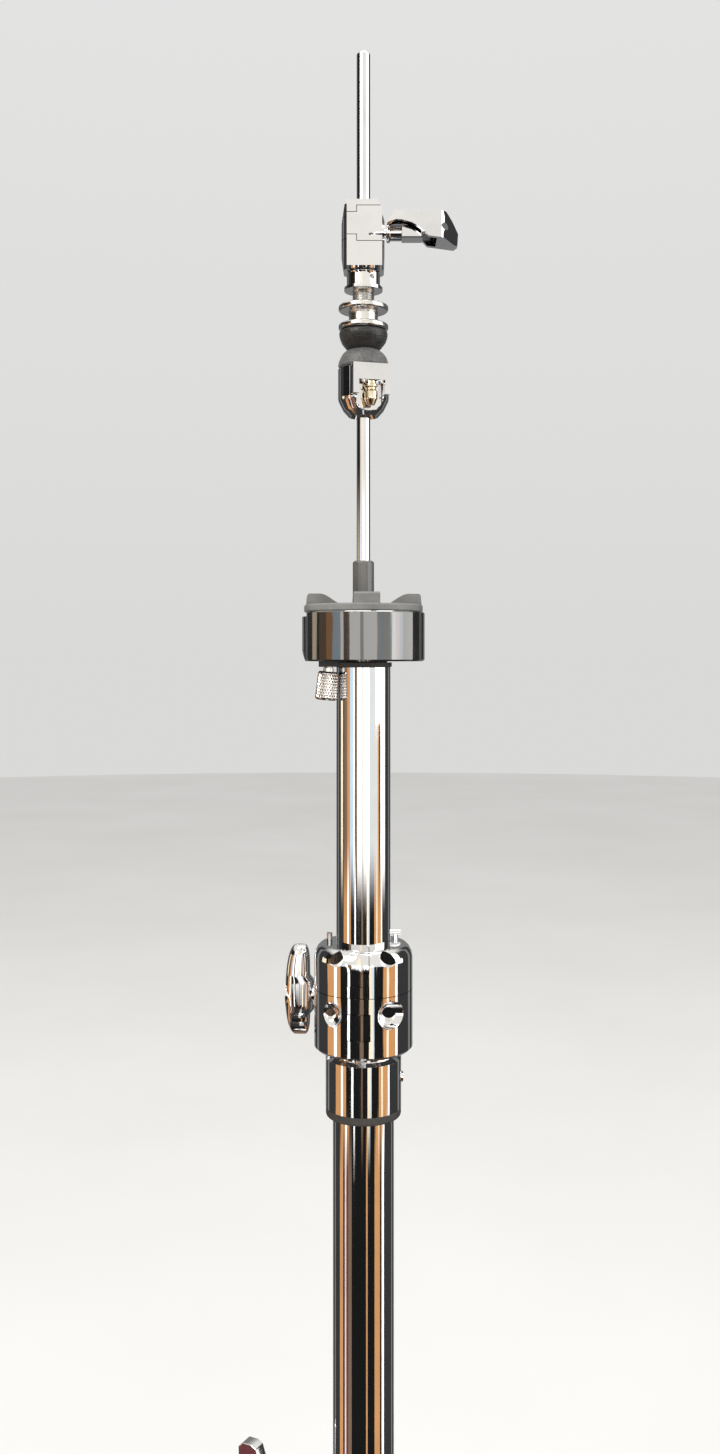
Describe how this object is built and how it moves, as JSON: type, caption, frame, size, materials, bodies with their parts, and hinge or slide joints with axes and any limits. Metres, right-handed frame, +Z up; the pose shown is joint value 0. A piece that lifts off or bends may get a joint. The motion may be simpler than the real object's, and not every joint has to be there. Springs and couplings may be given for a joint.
{
  "type": "hi-hat stand",
  "caption": "Folding floor stand with a foot pedal, chain and sprung pull rod inside a telescoping tube, a tilting cymbal seat and a clutch with felts and lock nuts.",
  "frame": {"origin": "tube axis at floor level, on the rubber pad of the base frame", "axes": "+Z up along the tube, pedal towards -Y, +X to the right when seen from the pedal"},
  "size_m": [0.5452, 0.6324, 0.977],
  "materials": {
    "chrome": "polished chrome plate",
    "black_cast": "black powder coat",
    "cast_aluminium": "satin cast aluminium",
    "steel": "zinc-plated steel",
    "spring_steel": "oiled spring wire",
    "brass": "turned brass",
    "nickel_nut": "bright nickel plate",
    "black_rubber": "matte black rubber",
    "grey_rubber": "matte grey-black rubber",
    "black_plastic": "semi-gloss black plastic",
    "dark_plastic": "matte dark plastic",
    "nylon": "natural nylon",
    "black_felt": "pressed black felt",
    "grey_felt": "pressed grey felt"
  },
  "bodies": {
    "stand": {"base_frame": "black_cast", "base_pads": "black_rubber", "heel_plate": "cast_aluminium", "radius_rods": "steel", "heel_pin": "steel", "lower_tube": "chrome", "rod_bush": "nylon", "brace_collar": "black_cast", "brace_pins": "steel", "return_spring": "spring_steel", "clamp_sleeve": "chrome", "bushing_ring": "black_plastic", "clamp_left": "chrome", "clamp_right": "chrome", "clamp_hinge_pin": "steel", "clamp_bolt": "steel"},
    "clamp_wing": {"clamp_wing": "chrome"},
    "spring_dial": {"spring_dial": "dark_plastic"},
    "pedal": {"footboard": "cast_aluminium", "chain_bracket": "steel"},
    "pull_rod": {"lower_rod": "steel", "upper_rod": "chrome", "spring_collar": "brass", "chain_yoke": "steel"},
    "chain": {"drive_chain": "steel"},
    "leg_collar": {"leg_collar": "chrome", "collar_lugs": "chrome", "leg_pins": "steel"},
    "collar_wing": {"collar_wing": "chrome"},
    "upper_tube": {"upper_tube": "chrome", "seat_base": "black_plastic", "rod_guide": "dark_plastic"},
    "memory_lock": {"memory_lock_left": "chrome", "memory_lock_right": "chrome", "memory_bolt": "steel"},
    "seat": {"seat_cup": "black_plastic", "seat_rubber": "grey_rubber"},
    "tilt_screw": {"tilt_screw": "nickel_nut"},
    "clutch": {"clutch_body": "chrome", "clutch_band": "chrome", "clutch_tube": "steel", "clutch_collar": "chrome", "upper_felt": "black_felt", "lower_felt": "grey_felt"},
    "upper_lock_nut": {"upper_lock_nut": "nickel_nut"},
    "lower_lock_nut": {"lower_lock_nut": "nickel_nut"},
    "bottom_nut": {"bottom_nut": "chrome", "nut_key": "brass"},
    "clutch_wing": {"clutch_wing": "chrome", "wing_bolt": "chrome"},
    "leg_1": {"leg_1": "chrome", "foot_1": "black_rubber"},
    "brace_1": {"brace_1": "chrome"},
    "leg_2": {"leg_2": "chrome", "foot_2": "black_rubber"},
    "brace_2": {"brace_2": "chrome"},
    "leg_3": {"leg_3": "chrome", "foot_3": "black_rubber"},
    "brace_3": {"brace_3": "chrome"}
  },
  "joints": [
    {"name": "pedal_hinge", "type": "hinge", "parent": "stand", "child": "pedal", "pos_m": [0, -0.25937, 0.02], "axis": [-1, 0, 0], "range_deg": [0, 5.3], "stiffness_Nm_per_rad": 60, "springref_deg": -8.59},
    {"name": "pull_rod_slide", "type": "slide", "parent": "stand", "child": "pull_rod", "axis": [0, 0, -1], "range_m": [0, 0.02478], "deforming": ["return_spring"]},
    {"name": "chain_swing", "type": "hinge", "parent": "pull_rod", "child": "chain", "pos_m": [0, 0, 0.13], "axis": [1, 0, 0], "range_deg": [0, 9.58]},
    {"name": "tripod_fold", "type": "slide", "parent": "stand", "child": "leg_collar", "axis": [0, 0, 1], "range_m": [0, 0.15597]},
    {"name": "collar_wing_turn", "type": "hinge", "parent": "leg_collar", "child": "collar_wing", "pos_m": [-0.0433, 0.025, 0.282], "axis": [-0.866, 0.5, 0], "continuous": true},
    {"name": "height_slide", "type": "slide", "parent": "stand", "child": "upper_tube", "axis": [0, 0, 1], "range_m": [0, 0.04]},
    {"name": "memory_lock_slide", "type": "slide", "parent": "upper_tube", "child": "memory_lock", "axis": [0, 0, 1], "range_m": [0, 0.08]},
    {"name": "clamp_wing_turn", "type": "hinge", "parent": "stand", "child": "clamp_wing", "pos_m": [-0.03, 0.0174, 0.531], "axis": [1, 0, 0], "continuous": true},
    {"name": "spring_dial_turn", "type": "hinge", "parent": "stand", "child": "spring_dial", "pos_m": [0, 0, 0.18], "axis": [0, 0, 1], "continuous": true},
    {"name": "seat_tilt", "type": "hinge", "parent": "upper_tube", "child": "seat", "pos_m": [0, 0, 0.7], "axis": [0, 1, 0], "range_deg": [-4, 4]},
    {"name": "tilt_screw_turn", "type": "hinge", "parent": "upper_tube", "child": "tilt_screw", "pos_m": [-0.016, -0.007, 0.69], "axis": [0.0872, 0, 0.9962], "continuous": true},
    {"name": "clutch_slide", "type": "slide", "parent": "pull_rod", "child": "clutch", "axis": [0, 0, 1], "range_m": [-0.03, 0.06]},
    {"name": "upper_lock_nut_turn", "type": "hinge", "parent": "clutch", "child": "upper_lock_nut", "pos_m": [0, 0, 0.854], "axis": [0, 0, 1], "continuous": true},
    {"name": "lower_lock_nut_turn", "type": "hinge", "parent": "clutch", "child": "lower_lock_nut", "pos_m": [0, 0, 0.848], "axis": [0, 0, 1], "continuous": true},
    {"name": "bottom_nut_turn", "type": "hinge", "parent": "clutch", "child": "bottom_nut", "pos_m": [0, 0, 0.82], "axis": [0, 0, 1], "continuous": true},
    {"name": "clutch_wing_turn", "type": "hinge", "parent": "clutch", "child": "clutch_wing", "pos_m": [0.012, -0.0093, 0.889], "axis": [1, 0, 0], "continuous": true},
    {"name": "leg_1_fold", "type": "hinge", "parent": "leg_collar", "child": "leg_1", "pos_m": [0, 0.038, 0.282], "axis": [-1, 0, 0], "range_deg": [0, 35.07]},
    {"name": "brace_1_fold", "type": "hinge", "parent": "stand", "child": "brace_1", "pos_m": [0, 0.038, 0.16], "axis": [1, 0, 0], "range_deg": [0, 78.02]},
    {"name": "leg_2_fold", "type": "hinge", "parent": "leg_collar", "child": "leg_2", "pos_m": [-0.03291, -0.019, 0.282], "axis": [0.5, -0.866, 0], "range_deg": [0, 35.07]},
    {"name": "brace_2_fold", "type": "hinge", "parent": "stand", "child": "brace_2", "pos_m": [-0.03291, -0.019, 0.16], "axis": [-0.5, 0.866, 0], "range_deg": [0, 78.02]},
    {"name": "leg_3_fold", "type": "hinge", "parent": "leg_collar", "child": "leg_3", "pos_m": [0.03291, -0.019, 0.282], "axis": [0.5, 0.866, 0], "range_deg": [0, 35.07]},
    {"name": "brace_3_fold", "type": "hinge", "parent": "stand", "child": "brace_3", "pos_m": [0.03291, -0.019, 0.16], "axis": [-0.5, -0.866, 0], "range_deg": [0, 78.02]}
  ],
  "couplings": [
    {"joint": "pull_rod_slide", "follows": "pedal_hinge", "m_per_rad": 0.26774},
    {"joint": "chain_swing", "follows": "pedal_hinge", "ratio": 1.8057},
    {"joint": "leg_1_fold", "follows": "tripod_fold", "rad_per_m": 3.9222},
    {"joint": "brace_1_fold", "follows": "tripod_fold", "rad_per_m": 8.7286},
    {"joint": "leg_2_fold", "follows": "tripod_fold", "rad_per_m": 3.9222},
    {"joint": "brace_2_fold", "follows": "tripod_fold", "rad_per_m": 8.7286},
    {"joint": "leg_3_fold", "follows": "tripod_fold", "rad_per_m": 3.9222},
    {"joint": "brace_3_fold", "follows": "tripod_fold", "rad_per_m": 8.7286}
  ]
}
